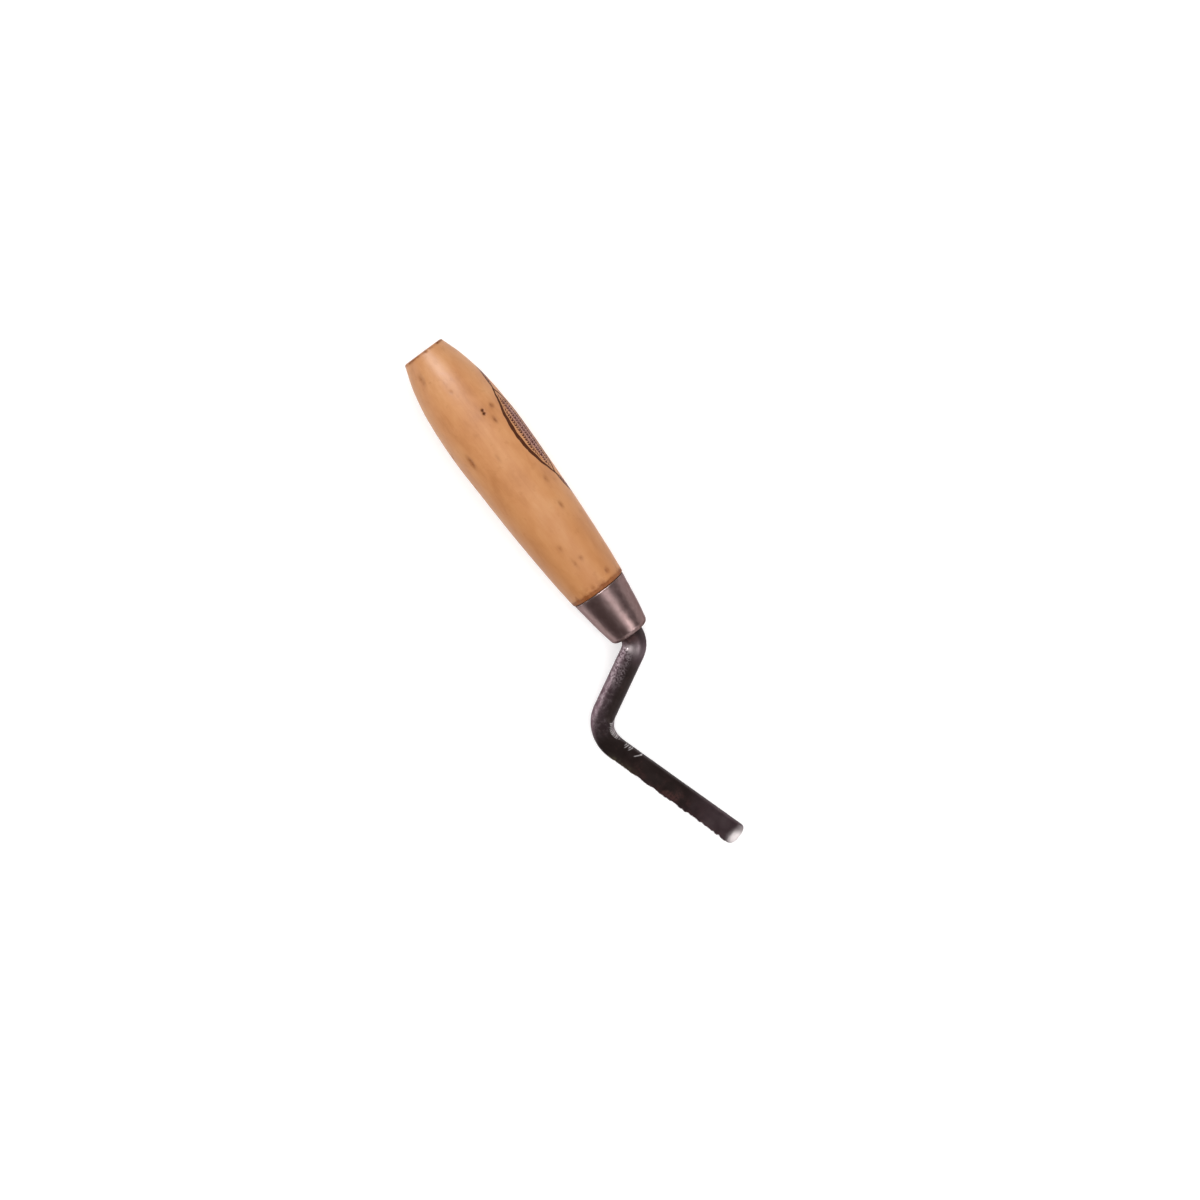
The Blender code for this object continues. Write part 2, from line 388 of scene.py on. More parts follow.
def ornament(s):
    """(outline, rows, ground): how much ink lies in each, from 0 to 1."""
    x, y, z = s.separate(s.place)
    # from the middle of the oval, in millimetres: u along the handle, w round it
    u = s.minus(x, ORNAMENT_AT)
    w = s.times(s.minus(s.math("ARCTAN2", y, z), ORNAMENT_ANGLE), ORNAMENT_RADIUS)
    # the hand-cut die wanders a little
    wander = s.minus(s.noise(s.place, 0.33, 2.0), 0.5)
    share = s.math("DIVIDE", u, ORNAMENT_HALF_LENGTH)
    taper = s.minus(1.0, s.times(share, share))
    width = s.plus(s.times(taper, ORNAMENT_HALF_WIDTH), s.times(wander, 1.1))
    from_edge = s.minus(width, s.size_of(w))
    pen = s.plus(0.46, s.times(taper, 0.38))
    outline = s.ramp(s.minus(s.size_of(from_edge), pen), 0.10, -0.08)
    on_oval = s.ramp(s.size_of(u), ORNAMENT_HALF_LENGTH + 0.6, ORNAMENT_HALF_LENGTH)
    leaf_lines, in_leaf = leaf(s, u, w, wander)
    outline = s.larger(s.times(outline, on_oval), leaf_lines)
    # rows of chevrons, a little uneven
    uneven = s.noise(s.stretched(1.1, 0.02, 0.02), 1.0, 1.0)
    across = s.math("PINGPONG", s.plus(w, 3.3), 1.2)
    tall = s.plus(0.62, s.times(uneven, 0.50))
    row = s.ramp(s.minus(across, tall), 0.10, -0.08)
    spacing = s.plus(u, s.times(s.plus(wander, uneven), 0.9))
    spacing = s.plus(spacing, s.times(across, 0.75))
    dash = s.ramp(s.math("PINGPONG", spacing, 0.56), 0.12, 0.25)
    rows = s.times(s.times(row, dash), s.ramp(from_edge, 1.0, 1.5))
    rows = s.larger(rows, s.times(in_leaf, dash))
    ground = s.larger(s.ramp(from_edge, 2.2, 4.2), in_leaf)
    return outline, rows, ground


def print_ornament(s, colour):
    """The wood's colour with the worn ornament printed on it, and how much ink lies at each place."""
    outline, rows, ground = ornament(s)
    worn = s.ramp(s.noise(s.place, 1.3, 4.0, 0.65), 0.24, 0.38)
    scuffed = s.ramp(s.noise(s.stretched(0.4, 1.0, 1.0), 1.9, 4.0, 0.7), 0.24, 0.44)
    outline = s.times(outline, worn)
    rows = s.times(rows, scuffed)
    colour = s.mix(s.times(ground, 0.66), colour, rgb(0.215, 0.100, 0.112))
    colour = s.mix(rows, colour, rgb(0.070, 0.017, 0.014))
    colour = s.mix(outline, colour, rgb(0.070, 0.017, 0.004))
    return colour, s.larger(outline, rows)


PITH = (0.0, -34.0, 41.0)  # the middle of the growth rings, well outside the handle
RING_WIDTH = 3.1


def late_wood(s):
    """How dark the growth rings are, which are drawn out along the grain."""
    wander = s.noise(s.stretched(0.012, 0.05, 0.05), 1.0, 2.0)
    from_pith = s.vector("SUBTRACT", s.place, PITH)
    from_pith = s.vector("LENGTH", s.vector("MULTIPLY", from_pith, (0.0, 1.0, 1.0)))
    rings = s.math("DIVIDE", s.plus(from_pith, s.times(wander, 16.0)), RING_WIDTH)
    rings = s.math("FRACT", rings)
    return s.times(s.ramp(rings, 0.35, 0.95), s.ramp(rings, 1.0, 0.96))


def wood_colour(s, fibres, clouds, fleck):
    blotches = s.noise(s.stretched(0.5, 1.0, 1.0), 0.09, 3.0, 0.55)
    pores = s.ramp(s.noise(s.stretched(0.6, 9.0, 9.0), 1.0, 0.0), 0.70, 0.80)
    tone = s.plus(s.times(blotches, 0.60), s.times(fibres, 0.12))
    colour = s.colours(
        s.plus(tone, s.times(clouds, 0.28)),
        (
            (0.36, (0.385, 0.161, 0.058)),
            (0.46, (0.455, 0.202, 0.077)),
            (0.54, (0.488, 0.228, 0.090)),
            (0.66, (0.532, 0.270, 0.118)),
        ),
    )
    # darker towards the ferrule, where the hand holds it
    handled = s.ramp(s.separate(s.place)[0], 15.0, 112.0)
    colour = s.mix(s.times(handled, 0.45), colour, rgb(0.345, 0.147, 0.047))
    colour = s.mix(s.times(late_wood(s), 0.07), colour, rgb(0.38, 0.160, 0.055))
    colour = s.mix(s.times(fleck, 0.06), colour, rgb(0.34, 0.140, 0.050))
    colour = s.mix(s.times(pores, 0.05), colour, rgb(0.27, 0.100, 0.035))
    ruddy = s.ramp(s.noise(s.stretched(0.4, 1.0, 1.0), 0.11, 2.0, 0.5, 0.3), 0.54, 0.72)
    return s.mix(s.times(ruddy, 0.24), colour, rgb(0.36, 0.135, 0.046))


def beech():
    s = Surface("varnished_beech")
    fibres = s.noise(s.stretched(0.035, 1.6, 1.6), 1.0, 4.0, 0.6)
    clouds = s.noise(s.stretched(0.6, 1.0, 1.0), 0.22, 3.0, 0.6, 0.4)
    fleck = s.ramp(s.noise(s.stretched(0.75, 4.6, 4.6), 1.0, 1.0, 0.4), 0.665, 0.75)
    colour = wood_colour(s, fibres, clouds, fleck)
    # handling dirt, thicker where the varnish is thin, and black in the two deep dents
    soot = s.ramp(s.noise(s.place, 0.55, 5.0, 0.7), 0.45, 0.75)
    stain = s.times(s.mark("stain"), s.plus(0.82, s.times(soot, 0.75)), clamp=True)
    colour = s.mix(stain, colour, rgb(0.175, 0.048, 0.006))
    pit = s.times(s.mark("pit"), s.plus(0.9, s.times(soot, 0.4)), clamp=True)
    colour = s.mix(pit, colour, rgb(0.030, 0.005, 0.001))
    colour, ink = print_ornament(s, colour)
    rough = s.plus(0.50, s.times(s.minus(clouds, 0.5), 0.25))
    rough = s.plus(rough, s.times(stain, 0.25))
    rough = s.plus(rough, s.times(ink, 0.35), clamp=True)
    # ink and packed dirt have no varnish to shine
    dull = s.larger(s.times(ink, 0.8), pit)
    brushed_on = s.noise(s.stretched(0.10, 0.8, 0.8), 1.0, 2.0)
    scratches = s.ramp(s.noise(s.stretched(1.2, 5.0, 5.0), 0.6, 3.0, 0.6, 1.2), 0.60, 0.72)
    s.raise_by(
        (brushed_on, 0.040),
        (fibres, 0.008),
        (s.minus(1.0, s.times(fleck, 0.8)), 0.005),
        (s.minus(1.0, s.times(scratches, 0.6)), 0.002),
    )
    return s.finish(
        Base_Color=colour,
        Roughness=rough,
        Metallic=dull,
        Specular_IOR_Level=0.26,
        Coat_Weight=0.10,
        Coat_Roughness=0.38,
    )


def plated_steel():
    s = Surface("satin_plated_steel")
    turned_lines = s.noise(s.stretched(9.0, 0.35, 0.35), 1.0, 3.0, 0.6)
    drawn_lines = s.noise(s.stretched(0.16, 6.0, 6.0), 1.0, 3.0, 0.65)
    clouds = s.noise(s.place, 0.30, 2.0, 0.5, 0.6)
    fine = s.noise(s.place, 3.2, 3.0, 0.6)
    colour = s.colours(
        clouds,
        (
            (0.25, (0.258, 0.177, 0.172)),
            (0.50, (0.290, 0.204, 0.198)),
            (0.75, (0.326, 0.237, 0.230)),
        ),
    )
    tarnish = s.ramp(s.noise(s.stretched(0.7, 1.0, 1.0), 0.8, 5.0, 0.7), 0.54, 0.74)
    colour = s.mix(s.times(tarnish, 0.22), colour, rgb(0.205, 0.130, 0.115))
    # painted shade: the flank towards the top is darkened, which dims its reflection of the floor
    painted_shade_flank = s.times(s.mark("painted_shade_flank"), s.ramp(clouds, 0.20, 0.50, 0.75, 1.0))
    colour = s.mix(s.times(painted_shade_flank, 0.62), colour, rgb(0.115, 0.072, 0.068))
    specks = s.ramp(s.cells(s.place, 0.42), 0.13, 0.06)
    specks = s.times(specks, s.ramp(fine, 0.50, 0.66))
    colour = s.mix(s.times(specks, 0.3), colour, rgb(0.10, 0.055, 0.045))
    edge = s.mark("edge")
    # dirt at the rim and the hole, and on the nose dirt that is partly painted shade
    dirt_and_shade = s.times(s.mark("dirt_and_shade"), s.ramp(s.noise(s.place, 1.1, 4.0, 0.7), 0.28, 0.60))
    colour = s.mix(s.times(edge, 0.42), colour, rgb(0.62, 0.55, 0.54))
    colour = s.mix(dirt_and_shade, colour, rgb(0.085, 0.045, 0.032))
    rough = s.plus(0.37, s.times(s.minus(clouds, 0.5), 0.12))
    rough = s.plus(rough, s.times(tarnish, 0.08))
    rough = s.plus(rough, s.times(dirt_and_shade, 0.30), clamp=True)
    scratches = s.ramp(s.noise(s.stretched(2.4, 0.9, 0.9), 1.0, 4.0, 0.7, 2.0), 0.66, 0.74)
    s.raise_by(
        (clouds, 0.012),
        (drawn_lines, 0.0008),
        (turned_lines, 0.0006),
        (s.minus(1.0, scratches), 0.002),
    )
    return s.finish(
        Base_Color=colour,
        Roughness=rough,
        Metallic=1.0,
        Specular_Tint=rgb(0.45, 0.42, 0.42),
    )


def file_lines(s, grit):
    """Light and dark strokes across the filed inside of the bend."""
    travel = s.node("CombineXYZ")
    s.feed(travel.inputs[0], s.mark("travel"))
    strokes = s.noise(travel.outputs[0], 1.1, 2.0, 0.5)
    turns = s.plus(s.times(s.mark("travel"), 5.6), s.times(strokes, 9.0))
    lines = s.plus(s.times(s.math("SINE", turns), 0.34), 0.36)
    return s.plus(lines, s.times(grit, 0.28))


def scaled_colour(s, patches, rubbed_and_lit, rust):
    """Blackened where it was drawn flat and inside the crook, plum-coloured where the scale is rubbed and
    where light is painted on the shank's outer side and round the upper bend.
    """
    scale = s.noise(s.place, 0.16, 3.0, 0.5, 0.5)
    black = s.colours(scale, ((0.3, (0.016, 0.0105, 0.0095)), (0.7, (0.025, 0.0175, 0.0165))))
    plum = s.colours(
        scale,
        (
            (0.28, (0.105, 0.068, 0.080)),
            (0.50, (0.145, 0.099, 0.115)),
            (0.72, (0.190, 0.140, 0.156)),
        ),
    )
    colour = s.mix(rubbed_and_lit, black, plum)
    olive = s.times(s.mark("olive"), s.ramp(patches, 0.30, 0.60))
    colour = s.mix(s.times(olive, 0.7), colour, rgb(0.15, 0.130, 0.080))
    return s.mix(rust, colour, rgb(0.060, 0.024, 0.022))


def forged_steel():
    s = Surface("forged_steel")
    patches = s.noise(s.place, 0.42, 4.0, 0.6, 0.6)
    grit = s.noise(s.place, 1.5, 4.0, 0.65)
    fine = s.noise(s.place, 6.0, 2.0, 0.6)
    rubbed_and_lit = s.mark("rubbed_and_lit")
    rust = s.times(s.mark("rust"), s.ramp(grit, 0.36, 0.58), clamp=True)
    rust = s.larger(rust, s.times(s.ramp(patches, 0.60, 0.74), 0.25))
    colour = scaled_colour(s, patches, rubbed_and_lit, rust)
    # pits on the shank with painted glints round them, and metal that shows through where it is worn
    pitted = s.mark("pitted")
    cells = s.cells(s.place, 1.20)
    pocks = s.times(s.times(s.ramp(cells, 0.44, 0.20), s.ramp(grit, 0.34, 0.48)), pitted)
    painted_glints = s.times(s.ramp(cells, 0.46, 0.66), pitted)
    worn = s.times(s.mark("worn"), s.ramp(grit, 0.30, 0.56), clamp=True)
    worn = s.larger(worn, s.times(painted_glints, 0.50))
    colour = s.mix(worn, colour, rgb(0.50, 0.430, 0.450))
    colour = s.mix(pocks, colour, rgb(0.022, 0.011, 0.013))
    # painted highlight: a bright soft spot on the face of the upper bend
    painted_highlight = s.times(s.mark("painted_highlight"), s.ramp(grit, 0.10, 0.40, 0.6, 1.0), clamp=True)
    colour = s.mix(painted_highlight, colour, rgb(0.86, 0.760, 0.780))
    # bare metal: the filed bend, the scratches and the honed bevel
    filed = s.mark("bare")
    lines = file_lines(s, grit)
    bright = s.colours(lines, ((0.25, (0.050, 0.040, 0.040)), (0.68, (0.45, 0.42, 0.42))))
    colour = s.mix(filed, colour, bright)
    scratched = s.times(s.mark("scratched"), s.ramp(fine, 0.25, 0.55, 0.7, 1.0), clamp=True)
    colour = s.mix(scratched, colour, rgb(0.66, 0.63, 0.63))
    honed = s.mark("honed")
    colour = s.mix(honed, colour, rgb(0.93, 0.87, 0.87))
    bare = s.larger(s.larger(filed, scratched), honed)
    rough = s.plus(0.43, s.times(s.minus(patches, 0.5), 0.22))
    rough = s.plus(rough, s.times(rust, 0.20))
    rough = s.minus(rough, s.times(s.larger(bare, painted_highlight), 0.08), clamp=True)
    metal = s.plus(0.55, s.times(rubbed_and_lit, 0.45), clamp=True)
    metal = s.larger(metal, bare)
    metal = s.minus(metal, s.times(rust, 0.5), clamp=True)
    s.raise_by(
        (patches, 0.040),
        (grit, 0.012),
        (fine, 0.003),
        (s.minus(1.0, pocks), 0.06),
        (s.times(lines, filed), 0.03),
    )
    return s.finish(
        Base_Color=colour,
        Roughness=rough,
        Metallic=metal,
        Specular_IOR_Level=0.30,
        Specular_Tint=rgb(0.45, 0.40, 0.42),
    )


# ---------------------------------------------------------------- the handle
HANDLE_SIDES = 288
BARREL_STEPS = 30
SHRINK = 0.05  # keeps the finer skin inside the CAD model's facets

# Dents and knocks: (along, degrees round from square towards the top, half length, half width, depth)
DENTS = (
    (30.3, 37.1, 0.62, 0.56, 0.26),
    (31.6, 36.3, 0.56, 0.60, 0.26),
    (30.8, 54.8, 0.80, 0.70, 0.14),
    (35.6, 44.3, 1.30, 0.55, 0.12),
    (43.4, -24.7, 2.20, 0.75, 0.20),
    (18.0, 15.5, 0.70, 0.60, 0.07),
    (8.2, -18.7, 1.90, 0.90, 0.09),
    (47.7, 13.5, 1.40, 0.50, 0.06),
    (64.4, 55.7, 1.40, 0.80, 0.08),
    (75.5, 50.5, 1.20, 0.60, 0.15),
    (88.6, 6.0, 1.00, 0.60, 0.07),
    (96.0, 24.9, 1.00, 0.70, 0.08),
    (96.4, 10.8, 1.80, 0.60, 0.07),
    (105.7, 52.1, 0.90, 0.75, 0.20),
    (107.8, 10.5, 1.10, 0.80, 0.09),
    (108.6, 32.4, 0.90, 0.70, 0.12),
    (108.9, -31.7, 0.80, 0.70, 0.16),
    (52.0, 150.0, 1.40, 0.50, 0.12),
    (83.0, 196.0, 0.90, 0.70, 0.16),
    (24.0, 238.0, 1.30, 0.60, 0.12),
    (70.0, 275.0, 1.80, 0.50, 0.10),
    (99.0, 222.0, 0.80, 0.70, 0.14),
    (38.0, 300.0, 0.80, 0.60, 0.14),
    (14.0, 120.0, 1.00, 0.60, 0.10),
    (90.0, 128.0, 1.40, 0.50, 0.10),
)
BLACK_DENTS = 2  # the first ones hold black dirt


def handle_outline():
    """(distance, radius) rings from the middle of the butt, over the barrel, to the bottom of the bore.

    Also says how many of them show.
    """
    butt_radius = BARREL[0][1] - BUTT_ROUND
    shoulder_radius = BARREL[-1][1] - EDGE_ROUND
    showing = (
        line((0.0, 0.0), (0.0, butt_radius), 9),
        arc((BUTT_ROUND, butt_radius), BUTT_ROUND, 171, 108, 7),
        through(BARREL, BARREL_STEPS),
        arc((WOOD_LENGTH - EDGE_ROUND, shoulder_radius), EDGE_ROUND, 70, 0, 6),
        line((WOOD_LENGTH, shoulder_radius), (WOOD_LENGTH, TENON_RADII[0]), 3),
    )
    hidden = (
        line((WOOD_LENGTH, TENON_RADII[0]), (TENON_END, TENON_RADII[1]), 4),
        line((TENON_END, TENON_RADII[1]), (TENON_END, BORE_RADIUS), 2),
        line((TENON_END, BORE_RADIUS), (BORE_END, BORE_RADIUS), 6),
        line((BORE_END, BORE_RADIUS), (BORE_END - BORE_RADIUS / 2, 0.4), 1),
    )
    return np.vstack(showing + hidden), sum(len(part) for part in showing)


def dents_in(x, radius, angles):
    """(hollow, stain, pit): how deep the dents are, and how much brown and black dirt they hold."""
    hollow = np.zeros_like(x)
    stain = np.zeros_like(x)
    pit = np.zeros_like(x)
    for number, (at, degrees, half_length, half_width, depth) in enumerate(DENTS):
        lengthwise = (x - at) / half_length
        sideways = angle_from(angles, degrees) * radius / half_width
        spread = lengthwise**2 + sideways**2
        rim = np.exp(-((np.hypot(lengthwise, sideways) - 1.7) ** 2) * 3.0)
        hollow += depth * np.exp(-(spread**1.4)) - depth * 0.12 * rim
        stain = np.maximum(stain, min(depth * 6.0, 0.85) * np.exp(-spread / 1.6))
        if number < BLACK_DENTS:
            pit = np.maximum(pit, np.exp(-((spread / 1.3) ** 2)))
    return hollow, stain, pit


def handling_dirt(x, radius, grime):
    """Dirt packed beside the ferrule and on the butt's edge, and thin elsewhere."""
    packed = 3.0 * bump(x - WOOD_LENGTH + 0.3, 1.15) * np.clip(0.9 + grime * 0.5, 0, 1)
    smeared = 0.30 * bump(x - WOOD_LENGTH + 2.0, 2.4) * smooth_step(grime * 4)
    at_butt = 1.1 * bump(x - 0.45, 0.5) * (radius > BARREL[0][1] - 0.8)
    at_butt = at_butt * np.clip(0.75 + grime * 0.8, 0, 1)
    thin = np.clip((grime - 0.50) * 0.6, 0, 0.12)
    return np.maximum(np.maximum(np.clip(packed + smeared, 0, 1), at_butt), thin)


def make_handle():
    outline, showing = handle_outline()
    x, radius, angles = turned(outline, HANDLE_SIDES)
    spots = ring_points(x, radius, angles)

    def uneven(size, octaves, seed, stretch=1.0):
        """Noise worked out at every other point round the handle."""
        return roughness_of(spots[:, ::2] * (stretch, 1.0, 1.0), size, octaves, seed).repeat(2, axis=1)

    hollow, stain, pit = dents_in(x, radius, angles)
    stain = np.maximum(stain, handling_dirt(x, radius, uneven(2.6, 3, 4)))
    waves = uneven(13.0, 2, 1) * 0.09
    ripples = uneven(3.0, 2, 2, stretch=0.25) * 0.018
    chips = np.clip(uneven(1.7, 2, 3) - 0.25, 0, 1) * 0.55
    sunk = SHRINK + hollow + np.abs(waves) + ripples + 0.02
    sunk += chips * bump(x - 0.4, 0.6) * (radius > BARREL[0][1] - 1.6)
    outside = (np.arange(len(outline))[:, None] < showing) & (radius > 0.0)
    radius = np.maximum(radius - np.where(outside, np.maximum(sunk, 0.01), 0.0), 0.0)
    pressed = np.where(x < 0.01, np.abs(waves) + chips * 0.1, 0.0)
    points = ring_points(x + pressed + 0.02 * outside, radius, angles)
    piece = make_piece("handle_turned", points, False, beech(), {"stain": stain, "pit": pit})
    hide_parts("handle")
    return piece


# ---------------------------------------------------------------- the ferrule
FERRULE_SIDES = 256
CONE_STEPS = 60
NOSE_STEPS = 14
TURN_IN = NOSE_FACE - NOSE_ROUND  # where the nose rounds over
LIP = 0.12  # broken edges of the rim and the hole
# Small dings: (along, degrees round, half length, half width, depth)
DINGS = (
    (116.0, 12.0, 1.6, 1.1, 0.06),
    (124.5, 48.0, 1.0, 1.4, 0.07),
    (119.0, 160.0, 1.4, 1.0, 0.08),
    (122.0, 250.0, 1.1, 1.6, 0.08),
    (114.0, 305.0, 1.3, 0.9, 0.06),
)


def ferrule_outline():
    """(distance, radius) rings from the rim, over the nose and back up the inside."""
    centre = (TURN_IN, NOSE_RADIUS - NOSE_ROUND)
    outer = arc(centre, NOSE_ROUND, 82, 0, NOSE_STEPS)
    inner = arc(centre, NOSE_ROUND - WALL, 0, 82, 6)
    rings = (
        [(RIM + LIP, RIM_RADIUS)],
        line((RIM + LIP, RIM_RADIUS), outer[0], CONE_STEPS),
        outer[1:],
        line(outer[-1], (NOSE_FACE, HOLE_RADIUS + LIP), 4),
        line((NOSE_FACE, HOLE_RADIUS + LIP), (NOSE_FACE - LIP, HOLE_RADIUS), 1),
        line((NOSE_FACE - LIP, HOLE_RADIUS), (NOSE_FACE - WALL, HOLE_RADIUS), 2),
        line((NOSE_FACE - WALL, HOLE_RADIUS), inner[0], 2),
        inner[1:],
        line(inner[-1], (RIM, RIM_RADIUS - WALL), 8),
        line((RIM, RIM_RADIUS - WALL), (RIM, RIM_RADIUS - LIP), 3),
    )
    return np.vstack(rings)


def ferrule_marks(x, radius, angles, outside, spots):
    """Where the rim is worn bright, where dirt lies with painted shade over the nose's rounding, and a
    painted shade on the flank towards the top.
    """
    wear = roughness_of(spots, 1.6, 2, 7)
    edge = bump(x - RIM, 0.30) * outside * np.clip(0.6 + wear, 0, 1)
    at_hole = bump(radius - HOLE_RADIUS, 0.9) * (x > TURN_IN)
    at_rim = 0.5 * bump(x - RIM - 0.2, 0.5) * (wear > 0.1)
    # dirt on the nose's rounding, partly painted shade that dims its reflection, left off the sector where
    # the nose's highlight falls
    nose_highlight_sector = bump(angles - math.radians(26), math.radians(20))
    nose_dirt_and_shade = 0.60 * smooth_step((x - TURN_IN - 0.6) / 1.2) * (1.0 - nose_highlight_sector)
    # painted shade: a darker band round the flank towards the top, about 68 degrees round, that dims its
    # reflection of the floor
    painted_shade_flank = bump(angle_from(angles, 68) + 0.25 * wear, math.radians(27)) * (x < NOSE_FACE - 0.3)
    return {"edge": edge, "dirt_and_shade": np.clip(at_hole + at_rim + nose_dirt_and_shade, 0, 1), "painted_shade_flank": painted_shade_flank}


def make_ferrule():
    outline = ferrule_outline()
    x, radius, angles = turned(outline, FERRULE_SIDES)
    outside = np.arange(len(outline))[:, None] < 1 + CONE_STEPS + NOSE_STEPS
    spots = ring_points(x, radius, angles)
    sunk = np.abs(roughness_of(spots, 9.0, 2, 6)) * 0.07 + 0.012
    for at, degrees, half_length, half_width, depth in DINGS:
        across = angle_from(angles, degrees) * radius / half_width
        sunk += depth * np.exp(-(((x - at) / half_length) ** 2 + across**2))
    # the cone swells a little before its nose
    sunk += 0.34 * np.clip((x - TURN_IN + 8.0) / 8.0, 0.0, 1.0) ** 2
    radius = radius - np.where(outside, sunk, 0.0)
    marks = ferrule_marks(x, radius, angles, outside, spots)
    points = ring_points(x, radius, angles)
    piece = make_piece("ferrule_pressed", points, True, plated_steel(), marks)
    piece.data.set_sharp_from_angle(angle=math.radians(50))
    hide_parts("ferrule")
    return piece


# ---------------------------------------------------------------- the blade
STEEL_SIDES = 132
STEP = 0.24
CORNER_POINTS = 24
CHAMFER = 0.6
SQUARE = np.array((0.0, 0.0, 1.0))  # out of the crank's plane


class Pen:
    """Draws the steel's centreline in the crank's plane, as stations along its length."""

    def __init__(self, x):
        self.x, self.y, self.heading, self.travelled = x, 0.0, 0.0, 0.0
        self.stations = [(0.0, x, 0.0, 0.0)]

    def go(self, length, turn, steps):
        """Goes a length in even steps, turning left by the whole angle."""
        half = turn / steps / 2
        chord = length / steps
        if turn:
            chord *= math.sin(abs(half)) / abs(half)
        for _ in range(steps):
            self.heading += half
            self.x += chord * math.cos(self.heading)
            self.y += chord * math.sin(self.heading)
            self.heading += half
            self.travelled += length / steps
            self.stations.append((self.travelled, self.x, self.y, self.heading))


def section(inner, outer, near, far, inner_corner, outer_corner):
    """A rounded rectangle as evenly spaced points, starting in the middle of its inner side.

    The points are (towards the inside of the crook, out of the crank's plane).
    """
    corners = (
        (inner - inner_corner, near - inner_corner, inner_corner, 0),
        (-outer + outer_corner, near - outer_corner, outer_corner, 90),
        (-outer + outer_corner, -far + outer_corner, outer_corner, 180),
        (inner - inner_corner, -far + inner_corner, inner_corner, 270),
    )
    turns = np.radians((np.arange(CORNER_POINTS) + 0.5) * 90 / CORNER_POINTS)
    middle = (inner, (near - far) / 2)
    points = [np.array([middle])]
    for across, up, radius, start in corners:
        angles = turns + math.radians(start)
        points.append(np.stack((across + radius * np.cos(angles), up + radius * np.sin(angles)), 1))
    points.append(np.array([middle]))
    points = np.vstack(points)
    lengths = np.concatenate(([0.0], np.cumsum(np.hypot(*np.diff(points, axis=0).T))))
    wanted = np.arange(STEEL_SIDES) * lengths[-1] / STEEL_SIDES
    return np.stack([np.interp(wanted, lengths, points[:, i]) for i in (0, 1)], 1)


def drawn_section(past_elbow, from_nose):
    """The section from the lower bend to the nose. Both distances run along the steel."""
    half_bend = LOWER_RADIUS * BLADE_TURN / 2
    squared = smooth_step((past_elbow + half_bend) / SQUARED_BY)
    thinned = smooth_step((past_elbow + half_bend) / (2 * half_bend + DRAWN_OUT))
    filed = FILED * smooth_step(1.0 - abs(past_elbow) / half_bend)
    far = between(BAR_RADIUS, BLADE_HALF_THICKNESS, thinned)
    bevel = 1.0 - max(1.0 - from_nose / BEVEL_LENGTH, 0.0) ** BEVEL_POWER
    near = between(EDGE_THICKNESS - BLADE_HALF_THICKNESS, far, bevel)
    share = 1.0 - min(from_nose / BLADE_LENGTH, 1.0)
    half_depth = between(BAR_RADIUS, between(*BLADE_HALF_DEPTH, share), thinned)
    rounding = (1.0 - max(1.0 - from_nose / NOSE_LENGTH, 0.0) ** NOSE_POWER) ** (1 / NOSE_POWER)
    half_depth *= rounding
    half_thickness = (near + far) / 2
    inner_corner = min(between(BAR_RADIUS, BLADE_CORNER, squared), half_thickness, half_depth)
    outer_corner = min(half_thickness, half_depth)
    return section(half_depth - filed, half_depth, near, far, inner_corner, outer_corner)


def steel_rings():
    """Rings of points from the tang's end to the nose, and how far each is past the shoulder.

    Also says how far past it the elbow and the nose are.
    """
    upper_tangent = UPPER_RADIUS * math.tan(SHANK_TURN / 2)
    lower_tangent = LOWER_RADIUS * math.tan(BLADE_TURN / 2)
    pen = Pen(TANG_START)
    pen.go(SHOULDER - TANG_START, 0.0, 6)
    tang = len(pen.stations)
    tang_length = pen.travelled
    pen.stations.append(pen.stations[-1])
    runs = (
        (UPPER_VERTEX - upper_tangent - SHOULDER, 0.0),
        (UPPER_RADIUS * SHANK_TURN, -SHANK_TURN),
        (SHANK_LENGTH - upper_tangent - lower_tangent, 0.0),
    )
    for length, turn in runs:
        pen.go(length, turn, round(length / STEP))
    bar = len(pen.stations) - 1
    bend = LOWER_RADIUS * BLADE_TURN
    elbow = pen.travelled + bend / 2
    pen.go(bend, BLADE_TURN, round(bend / STEP))
    strip = BLADE_LENGTH - lower_tangent
    nose = pen.travelled + strip
    body = strip - NOSE_LENGTH
    pen.go(body, 0.0, round(body / STEP))
    stops = NOSE_LENGTH * (1 - np.cos(np.radians(np.linspace(90, 8, 22))))
    for stop, following in zip(stops, stops[1:]):
        pen.go(stop - following, 0.0, 1)
    rings = []
    half = BAR_RADIUS
    for number, (travelled, x, y, heading) in enumerate(pen.stations):
        if number < tang:
            side = between(*TANG_HALF, travelled / tang_length)
            shape = section(side, side, side, side, side / 8, side / 8)
        elif number < bar:
            shape = section(half, half, half, half, half, half)
        else:
            shape = drawn_section(travelled - elbow, nose - travelled)
        inward = np.array((-math.sin(heading), math.cos(heading), 0.0))
        rings.append(np.array((x, y, 0.0)) + shape[:, :1] * inward + shape[:, 1:] * SQUARE)
    travelled = np.array([station[0] for station in pen.stations])
    return np.array(rings), travelled - tang_length, elbow - tang_length, nose - tang_length


# Knocks in the blade's outer edge: (distance past the elbow, half length, depth)
EDGE_KNOCKS = (
    (14.5, 1.4, 0.16),
    (21.0, 2.6, 0.26),
    (28.6, 1.9, 0.38),
    (35.2, 0.8, 0.30),
    (37.8, 2.0, 0.40),
    (42.4, 0.7, 0.34),
    (45.2, 0.8, 0.66),
    (47.6, 1.7, 0.40),
    (51.6, 0.8, 0.54),
    (54.4, 1.5, 0.38),
    (57.2, 0.5, 0.40),
    (59.6, 0.6, 0.58),
)
# Scratches over the blade's inner edge: (distance past the elbow at the edge, lean, reach, half width)
EDGE_SCRATCHES = (
    (10.6, -0.20, 1.5, 0.13),
    (11.5, -0.35, 2.3, 0.14),
    (12.5, -0.30, 1.6, 0.13),
    (13.4, -0.45, 2.2, 0.14),
    (17.8, -0.80, 2.9, 0.20),
)


